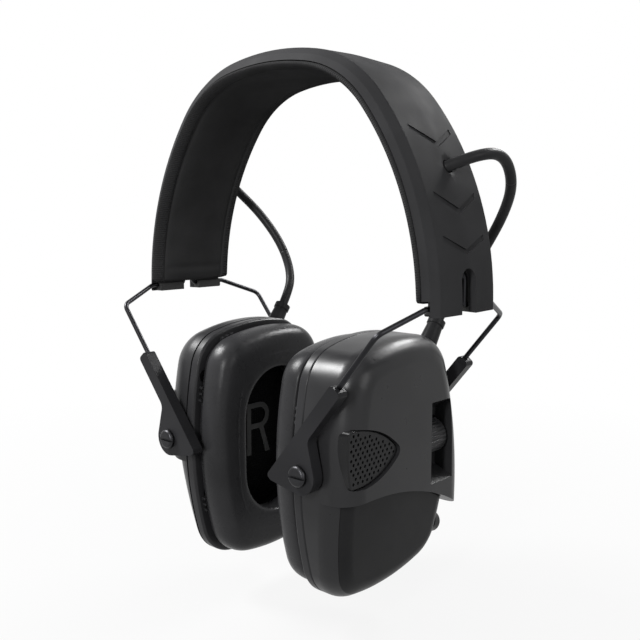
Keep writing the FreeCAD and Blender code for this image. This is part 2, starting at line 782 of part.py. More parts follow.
def letter_bar(y0, y1, z0, z1):
    """One stroke of an ear-side letter on the liner's face."""
    return box(LINER_X - 0.3, LINER_X, y0, y1, z0, z1)


def letter_l():
    """The letter on the left liner, read from inside the headset."""
    return join([letter_bar(3.3, 5.7, -162, -138.5), letter_bar(-6.4, 5.7, -162, -159.8)])


def letter_r():
    """The letter on the right liner, built on the left side and mirrored afterwards."""
    bowl_z = -144.4
    x = LINER_X - 0.3
    ring = rod(V(x, 1.4, bowl_z), V(1, 0, 0), 5.9, 0.3).cut(rod(V(x, 1.4, bowl_z), V(1, 0, 0), 3.6, 0.3))
    ring = ring.common(letter_bar(1.4, 9, -152, -137))
    leg = prism_x([(0.9, -149.2, 0), (3.5, -149.2, 0), (7.6, -162, 0), (5.0, -162, 0)], x, LINER_X)
    return join([letter_bar(-6.4, -3.9, -162, -138.5), letter_bar(-6.4, 1.4, -140.8, -138.5),
                 letter_bar(-6.4, 1.4, -150.3, -148.0), ring, leg])


def speaker():
    """The loudspeaker: flange, basket and magnet."""
    centre = V(SHELL_X + 0.3, 0, SPEAKER_Z)
    way = V(1, 0, 0)
    flange = rod(centre, way, SPEAKER_R + 2.5, 1.4)
    basket = rod(centre, way, SPEAKER_R, 5.6)
    magnet = rod(centre, way, 11.0, 8.6)
    return join([flange, basket, magnet])


def circuit_board(x):
    """The amplifier's board with its larger parts, its outer face at one X."""
    back = x - BOARD_THICK
    board = box(back, x, -22, 8, -134, -111)
    chips = [box(back - 1.1, back, -18, -10, -124, -116), box(back - 1.5, back, -4, 0, -130, -120),
             box(back - 0.7, back, 2, 6, -117, -112)]
    return join([board] + chips)


def mic_grille(face_x, edge_r):
    """The perforated triangular cover of the outer microphone, with a skirt down to the shell."""
    back = face_x - GRILLE_BACK
    x = back + GRILLE_THICK
    plate = grille_prism(back, x, 0)
    edges = [e for e in plate.Edges if e.BoundBox.XMin > x - 1e-4]
    plate = plate.makeChamfer(0.5, edges)
    skirt = grille_prism(back - GRILLE_SKIRT, back, 0).cut(cup_body(face_x, edge_r, -0.15, 0))
    field = grille_prism(back, x, -1.5)
    holes = []
    for row in range(-8, 9):
        for column in range(-10, 11):
            y = -24.0 + GRILLE_PITCH * (column + 0.5 * (row % 2))
            z = -141.0 + row * GRILLE_ROW
            if field.isInside(V(back + 0.5, y, z), 1e-6, False):
                holes.append(rod(V(back - 1, y, z), V(1, 0, 0), GRILLE_HOLE_R, GRILLE_THICK + 2))
    return join([plate, skirt]).cut(Part.makeCompound(holes))


def mic_capsule(face_x):
    """The microphone behind the grille."""
    front = face_x - GRILLE_BACK - WALL - 0.1
    return rod(V(front - 5.0, MIC_Y, MIC_Z), V(1, 0, 0), MIC_R, 5.0)


def strain_relief():
    """The tapered rubber boot where the cable enters the cup."""
    way = boot_way()
    length = (BOOT_TOP - BOOT_BASE).Length
    cone = Part.makeCone(BOOT_BASE_R, BOOT_TOP_R, length, BOOT_BASE, way)
    collar = rod(BOOT_TOP - way * 2.4, way, BOOT_TOP_R + 0.6, 2.4)
    boot = join([cone, collar])
    return boot.cut(rod(BOOT_BASE - way, way, BOOT_BORE_R, length + 2))


def shell_screws():
    """Four screws from the rim into the shell's posts."""
    screws = []
    for y, z in SCREW_PLACES:
        head = rod(V(RIM_X + 0.2, y, z), V(1, 0, 0), SCREW_HEAD_R, 2.0)
        shank = rod(V(RIM_X + 2.2, y, z), V(1, 0, 0), SCREW_R, 10.0)
        cross = join([box(RIM_X, RIM_X + 1.1, y - 1.5, y + 1.5, z - 0.35, z + 0.35),
                      box(RIM_X, RIM_X + 1.1, y - 0.35, y + 0.35, z - 1.5, z + 1.5)])
        screws.append(join([head, shank]).cut(cross))
    return Part.makeCompound(screws)


# ---------------------------------------------------------------- left cup only
def volume_dial():
    """The ridged barrel of the volume control."""
    length = DIAL_Y1 - DIAL_Y0
    barrel = rod(V(DIAL_X, DIAL_Y0, DIAL_Z), V(0, 1, 0), DIAL_R, length)
    barrel = barrel.makeChamfer(0.8, [e for e in barrel.Edges if e.Length > 20 and e.Closed])
    grooves = []
    for i in range(DIAL_RIDGES):
        turn = 2 * math.pi * i / DIAL_RIDGES
        x = DIAL_X + (DIAL_R + 0.15) * math.cos(turn)
        z = DIAL_Z + (DIAL_R + 0.15) * math.sin(turn)
        grooves.append(rod(V(x, DIAL_Y0 - 1, z), V(0, 1, 0), 0.5, length + 2))
    barrel = barrel.cut(Part.makeCompound(grooves))
    return barrel.cut(rod(V(DIAL_X, DIAL_Y0 - 1, DIAL_Z), V(0, 1, 0), DIAL_BORE_R, length - 0.5))


def potentiometer():
    """The rotary control inside the cup, with the shaft that carries the dial."""
    front = NOTCH_Y - WALL - 0.3
    body = box(DIAL_X - 4, DIAL_X + 4, 4.5, front, DIAL_Z - 6, DIAL_Z + 6)
    shaft = rod(V(DIAL_X, front - 0.5, DIAL_Z), V(0, 1, 0), DIAL_SHAFT_R, DIAL_Y1 - 2.5 - front)
    return join([body, shaft])


def battery_tray():
    """The cradle for the two cells."""
    tray = box(SHELL_X + 0.2, 40, -24.4, 24.4, -193, -172)
    for x, z in CELL_PLACES:
        tray = tray.cut(rod(V(x, -23.4, z), V(0, 1, 0), CELL_R + 0.15, 46.8))
        tray = tray.cut(box(x, 50, -23.4, 23.4, z - CELL_R - 0.15, z + CELL_R + 0.15))
    slot = box(35.3, 50, 22.5, 23.4, -193, -171)
    return tray.cut(slot).cut(flip_y(slot))


def cells():
    """Two small round cells along Y, laid opposite ways."""
    out = []
    for turn, (x, z) in zip((1, -1), CELL_PLACES):
        half = CELL_LENGTH / 2
        can = rod(V(x, -half * turn, z), V(0, turn, 0), CELL_R, CELL_LENGTH - 1.0)
        nub = rod(V(x, (half - 1.0) * turn, z), V(0, turn, 0), 2.6, 1.0)
        out.append(join([can, nub]))
    return Part.makeCompound(out)


def battery_contacts():
    """The two contact plates at the ends of the tray."""
    plate = box(35.5, 42.5, 22.65, 23.25, -192.5, -173)
    return Part.makeCompound([plate, flip_y(plate)])


def jack_socket():
    """The audio input socket low at the rear."""
    body = rod(JACK_MOUTH - JACK_AXIS * JACK_LENGTH, JACK_AXIS, JACK_R, JACK_LENGTH)
    collar = rod(JACK_MOUTH - JACK_AXIS * 3.0, JACK_AXIS, JACK_R + 0.8, 3.6)
    jack = join([body, collar])
    return jack.cut(rod(JACK_MOUTH - JACK_AXIS * (JACK_LENGTH - 1.0), JACK_AXIS, JACK_BORE_R, 16))


# ---------------------------------------------------------------- cable
def cable():
    """The left cable from the band's cover into the cup's boot."""
    way = boot_way()
    points = CABLE_ROUTE + [BOOT_TOP + way * 5.5, BOOT_TOP - way * 9.0]
    radii = []
    for i in range(1, len(points) - 1):
        before = points[i] - points[i - 1]
        after = points[i + 1] - points[i]
        half = before.getAngle(after) / 2
        radii.append(0.45 * min(before.Length, after.Length) / math.tan(half))
    solid, length = tube(points, radii, CABLE_R)
    print("cable bend radii", [round(r, 1) for r in radii])
    expected = math.pi * CABLE_R ** 2 * length
    print(f"cable length {length:.1f} mm, volume {solid.Volume:.0f}, section x length {expected:.0f}")
    return solid


# ---------------------------------------------------------------- build
os.makedirs("parts", exist_ok=True)

save("outer_cover", outer_cover())
save("head_pad", head_pad())
save("spring_band", spring_band())
save("band_rivets", band_rivets())
save("band_lead", band_lead())
save_pair("end_block", end_block())
save_pair("cable", cable())
save_pair("yoke_wire", yoke_wire())

rear_arm = arm()
save_pair("arm_rear", rear_arm)
save_pair("arm_front", flip_y(rear_arm))

save("cup_shell_left", cup_shell(FACE_X, EDGE_R, BOARD_X, True))
save("cup_shell_right", flip_x(cup_shell(RIGHT_FACE_X, RIGHT_EDGE_R, RIGHT_BOARD_X, False)))
save_pair("cup_rim", cup_rim())
save_pair("cushion_plate", cushion_plate())
save_pair("ear_cushion", ear_cushion())
save_pair("ear_liner", ear_liner())
save("side_letter_left", letter_l())
save("side_letter_right", flip_x(letter_r()))
save_pair("speaker", speaker())
save("circuit_board_left", circuit_board(BOARD_X))
save("circuit_board_right", flip_x(circuit_board(RIGHT_BOARD_X)))
save("mic_grille_left", mic_grille(FACE_X, EDGE_R))
save("mic_grille_right", flip_x(mic_grille(RIGHT_FACE_X, RIGHT_EDGE_R)))
save("mic_capsule_left", mic_capsule(FACE_X))
save("mic_capsule_right", flip_x(mic_capsule(RIGHT_FACE_X)))
save_pair("strain_relief", strain_relief())
save_pair("shell_screws", shell_screws())
save_pair("pivot_screws", pivot_screws())

save("volume_dial", volume_dial())
save("potentiometer", potentiometer())
save("battery_door", battery_door())
save("battery_tray", battery_tray())
save("battery_contacts", battery_contacts())
save("batteries", cells())
save("jack_socket", jack_socket())
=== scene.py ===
import json
import math

import bmesh
import bpy
import numpy as np
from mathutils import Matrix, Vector


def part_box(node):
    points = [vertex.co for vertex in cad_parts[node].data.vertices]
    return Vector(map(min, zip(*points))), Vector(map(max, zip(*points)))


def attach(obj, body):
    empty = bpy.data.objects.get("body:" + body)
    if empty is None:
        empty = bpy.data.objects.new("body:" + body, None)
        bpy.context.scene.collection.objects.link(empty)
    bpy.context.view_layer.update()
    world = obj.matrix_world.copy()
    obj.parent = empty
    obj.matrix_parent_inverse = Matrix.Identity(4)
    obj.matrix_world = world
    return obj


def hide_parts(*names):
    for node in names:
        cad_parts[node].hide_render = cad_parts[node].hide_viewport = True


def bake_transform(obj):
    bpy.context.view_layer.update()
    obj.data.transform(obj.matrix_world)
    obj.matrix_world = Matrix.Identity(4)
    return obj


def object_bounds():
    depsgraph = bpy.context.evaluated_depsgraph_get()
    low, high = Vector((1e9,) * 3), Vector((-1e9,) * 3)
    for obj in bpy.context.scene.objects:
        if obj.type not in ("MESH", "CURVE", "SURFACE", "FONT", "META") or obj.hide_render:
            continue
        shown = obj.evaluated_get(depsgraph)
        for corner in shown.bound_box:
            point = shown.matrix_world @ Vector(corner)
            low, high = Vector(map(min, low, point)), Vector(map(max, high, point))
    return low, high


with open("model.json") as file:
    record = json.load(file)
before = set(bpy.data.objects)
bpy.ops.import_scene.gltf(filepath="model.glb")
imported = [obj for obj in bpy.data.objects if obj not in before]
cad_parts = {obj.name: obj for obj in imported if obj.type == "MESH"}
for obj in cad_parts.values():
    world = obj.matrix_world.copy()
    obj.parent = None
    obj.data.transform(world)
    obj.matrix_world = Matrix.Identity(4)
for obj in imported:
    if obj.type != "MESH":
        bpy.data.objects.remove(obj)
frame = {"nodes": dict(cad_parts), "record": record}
NODES = frame["nodes"]
cad_lo, cad_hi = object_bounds()
MM = 0.001


# ---------------------------------------------------------------- camera
YAW = math.radians(41.87)
PITCH = math.radians(-7.25)
look = Vector((
    -math.sin(YAW) * math.cos(PITCH),
    math.cos(YAW) * math.cos(PITCH),
    math.sin(PITCH),
))
camera_data = bpy.data.cameras.new("camera")
camera = bpy.data.objects.new("camera", camera_data)
bpy.context.scene.collection.objects.link(camera)
camera_data.lens = 46.0
camera_data.sensor_width = 36.0
camera_data.clip_start = 0.01
camera.location = (0.2324, -0.2491, -0.0554)
camera.rotation_mode = "QUATERNION"
camera.rotation_quaternion = look.to_track_quat("-Z", "Y")
bpy.context.scene.camera = camera
bpy.context.scene.view_settings.view_transform = "Standard"


# ---------------------------------------------------------------- lamps, world and floor
def lamp(name, place, aim, size_x, size_y, power):
    """A soft box that looks at a point, with its power in watts."""
    data = bpy.data.lights.new(name, "AREA")
    data.shape = "RECTANGLE"
    data.size = size_x
    data.size_y = size_y
    data.energy = power
    o = bpy.data.objects.new(name, data)
    bpy.context.scene.collection.objects.link(o)
    o.location = place
    o.rotation_mode = "QUATERNION"
    o.rotation_quaternion = (Vector(aim) - Vector(place)).to_track_quat("-Z", "Y")


AIM = (0.0, 0.0, -0.12)
lamp("lamp_left_top", (-0.62, -0.35, 0.60), AIM, 0.26, 0.26, 20.0)
lamp("lamp_front", (0.28, -0.90, 0.26), AIM, 0.10, 0.40, 9.0)
lamp("lamp_back_top", (0.124, 0.60, 0.415), AIM, 0.34, 0.12, 6.0)
lamp("lamp_right", (0.95, 0.00, 0.25), AIM, 0.45, 0.45, 3.0)


def seen_rays(nodes, links):
    """A value of 1 for camera, glossy and transmission rays."""
    path = nodes.new("ShaderNodeLightPath")
    first = nodes.new("ShaderNodeMath")
    first.operation = "MAXIMUM"
    links.new(path.outputs["Is Camera Ray"], first.inputs[0])
    links.new(path.outputs["Is Glossy Ray"], first.inputs[1])
    second = nodes.new("ShaderNodeMath")
    second.operation = "MAXIMUM"
    links.new(first.outputs[0], second.inputs[0])
    links.new(path.outputs["Is Transmission Ray"], second.inputs[1])
    return second.outputs[0]


world = bpy.data.worlds.new("world")
bpy.context.scene.world = world
world.use_nodes = True
wn, wl = world.node_tree.nodes, world.node_tree.links
wn.clear()
soft = wn.new("ShaderNodeBackground")
soft.inputs["Color"].default_value = (0.8, 0.8, 0.8, 1)
soft.inputs["Strength"].default_value = 0.25
white = wn.new("ShaderNodeBackground")
white.inputs["Color"].default_value = (1, 1, 1, 1)
white.inputs["Strength"].default_value = 1.0
pick = wn.new("ShaderNodeMixShader")
wl.new(seen_rays(wn, wl), pick.inputs[0])
wl.new(soft.outputs[0], pick.inputs[1])
wl.new(white.outputs[0], pick.inputs[2])
wl.new(pick.outputs[0], wn.new("ShaderNodeOutputWorld").inputs["Surface"])


# A cup at the end of its slide reaches 14 mm lower than at rest, and still clears the floor.
CUP_DROP = 0.018
FLOOR_SIZE = 30.0
SHADOW_NEAR, SHADOW_FAR = 0.05, 0.45
NEAR_GLOW = 0.88


def make_floor():
    """A plain pale floor, under the lowest place a cup reaches, that keeps the soft shadow."""
    mat = bpy.data.materials.new("floor")
    mat.use_nodes = True
    n, k = mat.node_tree.nodes, mat.node_tree.links
    n.clear()
    matt = n.new("ShaderNodeBsdfDiffuse")
    matt.inputs["Color"].default_value = (0.3, 0.3, 0.3, 1)
    glow = n.new("ShaderNodeEmission")
    glow.inputs["Color"].default_value = (1, 1, 1, 1)
    place = n.new("ShaderNodeTexCoord")
    reach = n.new("ShaderNodeVectorMath")
    reach.operation = "LENGTH"
    k.new(place.outputs["Object"], reach.inputs[0])
    fade = n.new("ShaderNodeMapRange")
    fade.inputs["From Min"].default_value = SHADOW_NEAR
    fade.inputs["From Max"].default_value = SHADOW_FAR
    fade.inputs["To Min"].default_value = NEAR_GLOW
    fade.inputs["To Max"].default_value = 1.0
    k.new(reach.outputs["Value"], fade.inputs["Value"])
    share = n.new("ShaderNodeMath")
    share.operation = "MULTIPLY"
    k.new(fade.outputs[0], share.inputs[1])
    k.new(seen_rays(n, k), share.inputs[0])
    mix = n.new("ShaderNodeMixShader")
    k.new(share.outputs[0], mix.inputs[0])
    k.new(matt.outputs[0], mix.inputs[1])
    k.new(glow.outputs[0], mix.inputs[2])
    k.new(mix.outputs[0], n.new("ShaderNodeOutputMaterial").inputs["Surface"])
    bpy.ops.mesh.primitive_plane_add(size=FLOOR_SIZE, location=(0, 0, cad_lo.z - CUP_DROP))
    floor = bpy.context.object
    floor.name = "floor"
    floor.data.materials.append(mat)


make_floor()


# ---------------------------------------------------------------- materials
class Look:
    """A Principled material with helpers for procedural detail in object coordinates."""

    def __init__(self, name, colour, rough, spec=0.3, metal=0.0, sheen=0.0):
        self.mat = bpy.data.materials.new(name)
        self.mat.use_nodes = True
        self.n = self.mat.node_tree.nodes
        self.k = self.mat.node_tree.links
        self.shader = self.n["Principled BSDF"]
        self.colour = colour
        self.rough = rough
        self.shader.inputs["Specular IOR Level"].default_value = spec
        self.shader.inputs["Metallic"].default_value = metal
        self.shader.inputs["Sheen Weight"].default_value = sheen
        self.shader.inputs["Sheen Roughness"].default_value = 0.4
        self.place = self.n.new("ShaderNodeTexCoord").outputs["Object"]
        self.normal = None

    def noise(self, scale, detail=3.0, stretch=(1, 1, 1)):
        """Noise from 0 to 1, with its scale in waves per metre."""
        source = self.place
        if stretch != (1, 1, 1):
            m = self.n.new("ShaderNodeMapping")
            m.inputs["Scale"].default_value = stretch
            self.k.new(source, m.inputs["Vector"])
            source = m.outputs[0]
        t = self.n.new("ShaderNodeTexNoise")
        t.inputs["Scale"].default_value = scale
        t.inputs["Detail"].default_value = detail
        self.k.new(source, t.inputs["Vector"])
        return t.outputs["Fac"]

    def cells(self, scale):
        """The distance to the edges of a slightly warped cell pattern."""
        warp = self.n.new("ShaderNodeTexNoise")
        warp.inputs["Scale"].default_value = scale * 0.6
        self.k.new(self.place, warp.inputs["Vector"])
        mix = self.n.new("ShaderNodeVectorMath")
        mix.operation = "MULTIPLY_ADD"
        mix.inputs[1].default_value = (0.5 / scale,) * 3
        self.k.new(warp.outputs["Color"], mix.inputs[0])
        self.k.new(self.place, mix.inputs[2])
        t = self.n.new("ShaderNodeTexVoronoi")
        t.feature = "DISTANCE_TO_EDGE"
        t.inputs["Scale"].default_value = scale
        self.k.new(mix.outputs[0], t.inputs["Vector"])
        return t.outputs["Distance"]

    def ranged(self, value, low, high, a=0.3, b=0.7):
        """A value from a to b, brought to the range from low to high."""
        m = self.n.new("ShaderNodeMapRange")
        m.inputs["From Min"].default_value = a
        m.inputs["From Max"].default_value = b
        m.inputs["To Min"].default_value = low
        m.inputs["To Max"].default_value = high
        self.k.new(value, m.inputs["Value"])
        return m.outputs[0]

    def tint(self, value, low, high):
        """Colour between low and high times the base colour."""
        ramp = self.n.new("ShaderNodeValToRGB")
        ramp.color_ramp.elements[0].position = 0.3
        ramp.color_ramp.elements[1].position = 0.7
        ramp.color_ramp.elements[0].color = (*[c * low for c in self.colour], 1)
        ramp.color_ramp.elements[1].color = (*[c * high for c in self.colour], 1)
        self.k.new(value, ramp.inputs[0])
        self.k.new(ramp.outputs[0], self.shader.inputs["Base Color"])

    def shine(self, value, spread):
        """Roughness that varies about the base roughness."""
        rough = self.ranged(value, self.rough - spread, self.rough + spread)
        self.k.new(rough, self.shader.inputs["Roughness"])

    def bump(self, height, strength, distance):
        """One more layer of bump on top of those before it, with its depth in metres."""
        b = self.n.new("ShaderNodeBump")
        b.inputs["Strength"].default_value = strength
        b.inputs["Distance"].default_value = distance
        self.k.new(height, b.inputs["Height"])
        if self.normal is not None:
            self.k.new(self.normal, b.inputs["Normal"])
        self.normal = b.outputs[0]
        self.k.new(self.normal, self.shader.inputs["Normal"])

    def sine(self, value, pitch):
        """A wave along a coordinate in metres, 0 to 1."""
        m = self.n.new("ShaderNodeMath")
        m.operation = "MULTIPLY"
        m.inputs[1].default_value = 2 * math.pi / pitch
        self.k.new(value, m.inputs[0])
        s = self.n.new("ShaderNodeMath")
        s.operation = "SINE"
        self.k.new(m.outputs[0], s.inputs[0])
        h = self.n.new("ShaderNodeMath")
        h.operation = "MULTIPLY_ADD"
        h.inputs[1].default_value = 0.5
        h.inputs[2].default_value = 0.5
        self.k.new(s.outputs[0], h.inputs[0])
        return h.outputs[0]

    def math(self, operation, a, b):
        """A maths node on two values or numbers."""
        m = self.n.new("ShaderNodeMath")
        m.operation = operation
        for i, v in enumerate((a, b)):
            if isinstance(v, (int, float)):
                m.inputs[i].default_value = v
            else:
                self.k.new(v, m.inputs[i])
        return m.outputs[0]

    def axes(self):
        """The object coordinates X, Y and Z."""
        s = self.n.new("ShaderNodeSeparateXYZ")
        self.k.new(self.place, s.inputs[0])
        return s.outputs

    def attribute(self, name):
        """A number stored on the mesh's points."""
        a = self.n.new("ShaderNodeAttribute")
        a.attribute_name = name
        return a.outputs["Fac"]


def plastic(name, colour, rough, spec=0.3, grain=3500.0, depth=0.00003):
    """Moulded plastic: fine grain, a slow drift in tone and shine, and faint waviness."""
    m = Look(name, colour, rough, spec=spec)
    m.tint(m.noise(35, 4), 0.85, 1.15)
    m.shine(m.noise(90, 5), 0.05)
    m.bump(m.noise(60, 2), 0.05, 0.0005)
    m.bump(m.noise(grain, 2), 0.35, depth)
    return m.mat


def rubber(name, colour, rough, spec=0.3):
    """Matt rubber with a fine skin."""
    m = Look(name, colour, rough, spec=spec)
    m.tint(m.noise(120, 3), 0.85, 1.2)
    m.shine(m.noise(300, 3), 0.05)
    m.bump(m.noise(2500, 3), 0.3, 0.00003)
    return m.mat


RIB_PITCH = 0.00085


def leather(name, colour, rough, spec=0.3, cell=1500.0, depth=0.00006, ribs=False):
    """Synthetic leather with fine pebble grain, and ribbed edge strips where asked."""
    m = Look(name, colour, rough, spec=spec)
    m.tint(m.noise(45, 4), 0.85, 1.18)
    m.shine(m.noise(150, 4), 0.05)
    m.bump(m.noise(70, 2), 0.05, 0.0008)
    m.bump(m.ranged(m.cells(cell), 0, 1, 0.0, 0.25), 0.4, depth)
    if ribs:
        along = m.sine(m.attribute("along"), RIB_PITCH)
        m.bump(m.math("MULTIPLY", along, m.attribute("strip")), 0.8, 0.00026)
    return m.mat


KNIT_PITCH = 0.0011


def cloth(name, colour):
    """Fine knitted cloth over foam."""
    m = Look(name, colour, 0.85, spec=0.06, sheen=0.03)
    axes = m.axes()
    warp = m.sine(axes["Y"], KNIT_PITCH)
    weft = m.sine(axes["Z"], KNIT_PITCH)
    weave = m.math("MULTIPLY", warp, weft)
    m.tint(m.noise(200, 4), 0.75, 1.25)
    m.shine(m.noise(400, 2), 0.04)
    m.bump(weave, 0.8, 0.00025)
    m.bump(m.noise(900, 3), 0.3, 0.0001)
    return m.mat


def metal(name, colour, rough, stretch=(1, 1, 1)):
    """Metal, brushed along an axis where the noise is stretched."""
    m = Look(name, colour, rough, spec=0.5, metal=1.0)
    m.tint(m.noise(150, 4), 0.85, 1.1)
    m.shine(m.noise(500, 3, stretch), 0.06)
    m.bump(m.noise(1500, 3, stretch), 0.15, 0.00003)
    return m.mat


TRACK_PITCH = 0.0022


def board(name):
    """Green circuit board with raised tracks."""
    m = Look(name, (0.02, 0.11, 0.045), 0.35, spec=0.5)
    axes = m.axes()
    tracks = m.math("GREATER_THAN", m.sine(axes["Y"], TRACK_PITCH), 0.72)
    m.tint(m.noise(300, 3), 0.8, 1.2)
    m.shine(m.noise(500, 2), 0.05)
    m.bump(tracks, 0.4, 0.00004)
    return m.mat


LOOKS = {
    "cover": plastic("cover", (0.024, 0.024, 0.025), 0.62, 0.02, grain=2600, depth=0.00004),
    "shell": plastic("shell", (0.014, 0.014, 0.0148), 0.32, 0.18, grain=3500, depth=0.00002),
    "rim": plastic("rim", (0.017, 0.017, 0.018), 0.32, 0.12, grain=3500, depth=0.00002),
    "arm": plastic("arm", (0.013, 0.013, 0.014), 0.32, 0.07, grain=3000, depth=0.00003),
    "inner_plastic": plastic("inner_plastic", (0.02, 0.02, 0.02), 0.5, 0.2),
    "door": plastic("door", (0.012, 0.012, 0.0125), 0.34, 0.05, grain=3500, depth=0.00002),
    "pad": leather("pad", (0.026, 0.026, 0.0265), 0.50, 0.0, cell=1400, ribs=True),
    "cushion": leather("cushion", (0.019, 0.019, 0.020), 0.29, 0.10, cell=1900, depth=0.00003),
    "liner": cloth("liner", (0.006, 0.006, 0.0065)),
    "letter": plastic("letter", (0.10, 0.10, 0.10), 0.55, 0.2),
    "wire": metal("wire", (0.022, 0.022, 0.024), 0.33, (1, 1, 8)),
    "spring_steel": metal("spring_steel", (0.5, 0.51, 0.53), 0.3, (1, 12, 1)),
    "screw": metal("screw", (0.03, 0.03, 0.032), 0.38, (8, 1, 1)),
    "cable": rubber("cable", (0.012, 0.012, 0.0125), 0.42, 0.08),
    "boot": rubber("boot", (0.013, 0.013, 0.0135), 0.36, 0.07),
    "dial": rubber("dial", (0.017, 0.017, 0.018), 0.34, 0.12),
    "grille": plastic("grille", (0.012, 0.012, 0.0125), 0.26, 0.10, grain=5000, depth=0.00002),
    "board": board("board"),
    "speaker": plastic("speaker", (0.03, 0.03, 0.032), 0.45, 0.35),
    "capsule": metal("capsule", (0.04, 0.04, 0.042), 0.4),
    "socket": plastic("socket", (0.010, 0.010, 0.0105), 0.22, 0.15, grain=5000, depth=0.00001),
    "contact": metal("contact", (0.6, 0.59, 0.56), 0.25),
    "cell": plastic("cell", (0.25, 0.25, 0.26), 0.3, 0.5, grain=5000, depth=0.00001),
}

for row in frame["record"]["subparts"]:
    node = NODES[row["node"]]
    slot = row["material_slot"]
    node.data.materials.clear()
    node.data.materials.append(LOOKS["door" if row["node"] == "battery_door" else slot])


EASE_ANGLE = math.radians(32.0)
WELD_DISTANCE = 0.000002


def ease_edges(name, width):
    """Small rounded edges on a moulded CAD piece, from modifiers only."""
    o = NODES[name]
    weld = o.modifiers.new("weld", "WELD")
    weld.merge_threshold = WELD_DISTANCE
    bevel = o.modifiers.new("bevel", "BEVEL")
    bevel.limit_method = "ANGLE"
    bevel.angle_limit = EASE_ANGLE
    bevel.width = width
    bevel.segments = 3
    bevel.use_clamp_overlap = True
    normal = o.modifiers.new("normal", "WEIGHTED_NORMAL")
    normal.keep_sharp = False
    normal.weight = 80


for word in ("left", "right"):
    ease_edges("arm_rear_" + word, 0.0007)
    ease_edges("arm_front_" + word, 0.0007)
    ease_edges("cup_shell_" + word, 0.0004)
    ease_edges("cup_rim_" + word, 0.0003)
    ease_edges("end_block_" + word, 0.0004)
ease_edges("outer_cover", 0.0005)
ease_edges("battery_door", 0.0004)


# ---------------------------------------------------------------- mesh helpers
def mesh_object(name, points, faces, material):
    """A smooth-shaded mesh object with its normals outwards."""
    mesh = bpy.data.meshes.new(name)
    mesh.from_pydata([tuple(p) for p in points], [], faces)
    mesh.validate()
    o = bpy.data.objects.new(name, mesh)
    bpy.context.scene.collection.objects.link(o)
    bm = bmesh.new()
    bm.from_mesh(mesh)
    bmesh.ops.recalc_face_normals(bm, faces=bm.faces)
    bm.to_mesh(mesh)
    bm.free()
    for p in mesh.polygons:
        p.use_smooth = True
    mesh.materials.append(material)
    return o


def ring_faces(rows, count, close_rows=False):
    """Quads between closed rings of equal size."""
    faces = []
    last = rows if close_rows else rows - 1
    for r in range(last):
        a = r * count
        b = ((r + 1) % rows) * count
        for i in range(count):
            j = (i + 1) % count
            faces.append((a + i, a + j, b + j, b + i))
    return faces


def apply_modifier(o, modifier):
    """Apply one modifier to an object."""
    bpy.context.view_layer.objects.active = o
    for other in bpy.context.selected_objects:
        other.select_set(False)
    o.select_set(True)
    bpy.ops.object.modifier_apply(modifier=modifier.name)


def subdivide(o, levels):
    """Smooth a mesh into a subdivision surface."""
    m = o.modifiers.new("smooth", "SUBSURF")
    m.levels = levels
    m.render_levels = levels
    apply_modifier(o, m)


def points_of(o):
    """A mesh's points as rows of x, y and z."""
    co = np.zeros(len(o.data.vertices) * 3)
    o.data.vertices.foreach_get("co", co)
    return co.reshape(-1, 3)


CLOTH_FRAMES = 14


def inflate(o, held, pressure, cap):
    """A short cloth simulation with air pressure, applied, with a cap on how far a point moves."""
    rest = points_of(o)
    group = o.vertex_groups.new(name="held")
    group.add([int(i) for i in np.nonzero(held)[0]], 1.0, "REPLACE")
    m = o.modifiers.new("cloth", "CLOTH")
    m.settings.quality = 6
    m.settings.mass = 0.2
    m.settings.tension_stiffness = 40
    m.settings.compression_stiffness = 40
    m.settings.shear_stiffness = 20
    m.settings.bending_stiffness = 2.0
    m.settings.use_pressure = True
    m.settings.uniform_pressure_force = pressure
    m.settings.vertex_group_mass = "held"
    m.settings.effector_weights.gravity = 0
    m.collision_settings.use_collision = False
    m.point_cache.frame_start = 1
    m.point_cache.frame_end = CLOTH_FRAMES
    scene = bpy.context.scene
    for f in range(1, CLOTH_FRAMES + 1):
        scene.frame_set(f)
    evaluated = o.evaluated_get(bpy.context.evaluated_depsgraph_get())
    moved = np.array([v.co for v in evaluated.data.vertices])
    o.modifiers.remove(m)
    scene.frame_set(1)
    delta = moved - rest
    length = np.linalg.norm(delta, axis=1, keepdims=True)
    delta *= np.minimum(1.0, cap / np.maximum(length, 1e-9))
    delta[held] = 0
    o.data.vertices.foreach_set("co", (rest + delta).astype(np.float32).ravel())
    o.data.update()


# ---------------------------------------------------------------- band geometry, as in the CAD
def polar(centre, radius, angle):
    """A point on an arc, as (x, z), with the angle in degrees from straight up."""
    turn = math.radians(angle)
    return (centre[0] + radius * math.sin(turn), centre[1] + radius * math.cos(turn))


CROWN_R, SHOULDER_R, LEG_R = 110.0, 43.0, 112.0
CROWN_END, SHOULDER_END, LEG_END = 11.0, 51.0, 95.0
CROWN_C = (0.0, -CROWN_R)
SHOULDER_C = polar(CROWN_C, CROWN_R - SHOULDER_R, CROWN_END)
LEG_C = polar(SHOULDER_C, SHOULDER_R - LEG_R, SHOULDER_END)
BAND_ARCS = (
    (CROWN_C, CROWN_R, 0.0, CROWN_END),
    (SHOULDER_C, SHOULDER_R, CROWN_END, SHOULDER_END),
    (LEG_C, LEG_R, SHOULDER_END, LEG_END),
)
PAD_END = 89.0
PAD_MIDDLE = 1.7
PAD_STEP = 1.6
PAD_PINCH = (0.45, 0.8, 0.95, 1.0)
SEAM_ROW = 4
SEAM_DEPTH = 0.5
CHANNEL_Y = 16.5


def band_point(angle, out, y):
    """A point in metres at an angle along the band, a distance out from its inner line."""
    side = -1 if angle < 0 else 1
    a = abs(angle)
    for centre, radius, _, high in BAND_ARCS:
        if a <= high:
            x, z = polar(centre, radius + out, a)
            return (x * side * MM, y * MM, z * MM)


